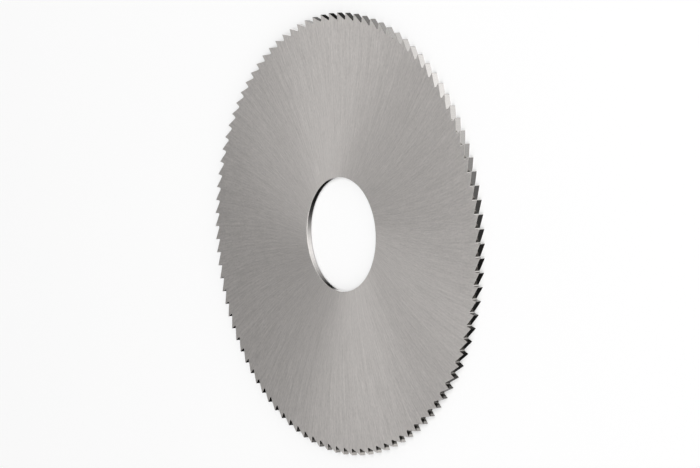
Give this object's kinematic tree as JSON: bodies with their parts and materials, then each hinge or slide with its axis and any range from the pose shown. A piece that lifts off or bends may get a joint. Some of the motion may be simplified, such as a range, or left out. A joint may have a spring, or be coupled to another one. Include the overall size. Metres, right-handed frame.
{
  "type": "slitting saw",
  "caption": "Thin round metal slitting saw with fine pointed teeth round its rim, slightly hollow-ground sides and a plain arbor bore.",
  "frame": {"origin": "on the bore axis, at the plane that the underside of the teeth rests on", "axes": "+Z along the bore axis, up out of the blade lying flat; +X through the tip of one tooth; the teeth point counter-clockwise seen from +Z"},
  "size_m": [0.05, 0.05, 0.0007],
  "materials": {
    "ground_steel": "ground on both sides with fine near-radial lines, bright teeth and bore"
  },
  "bodies": {
    "root": {"saw_blade": "ground_steel"}
  },
  "joints": []
}
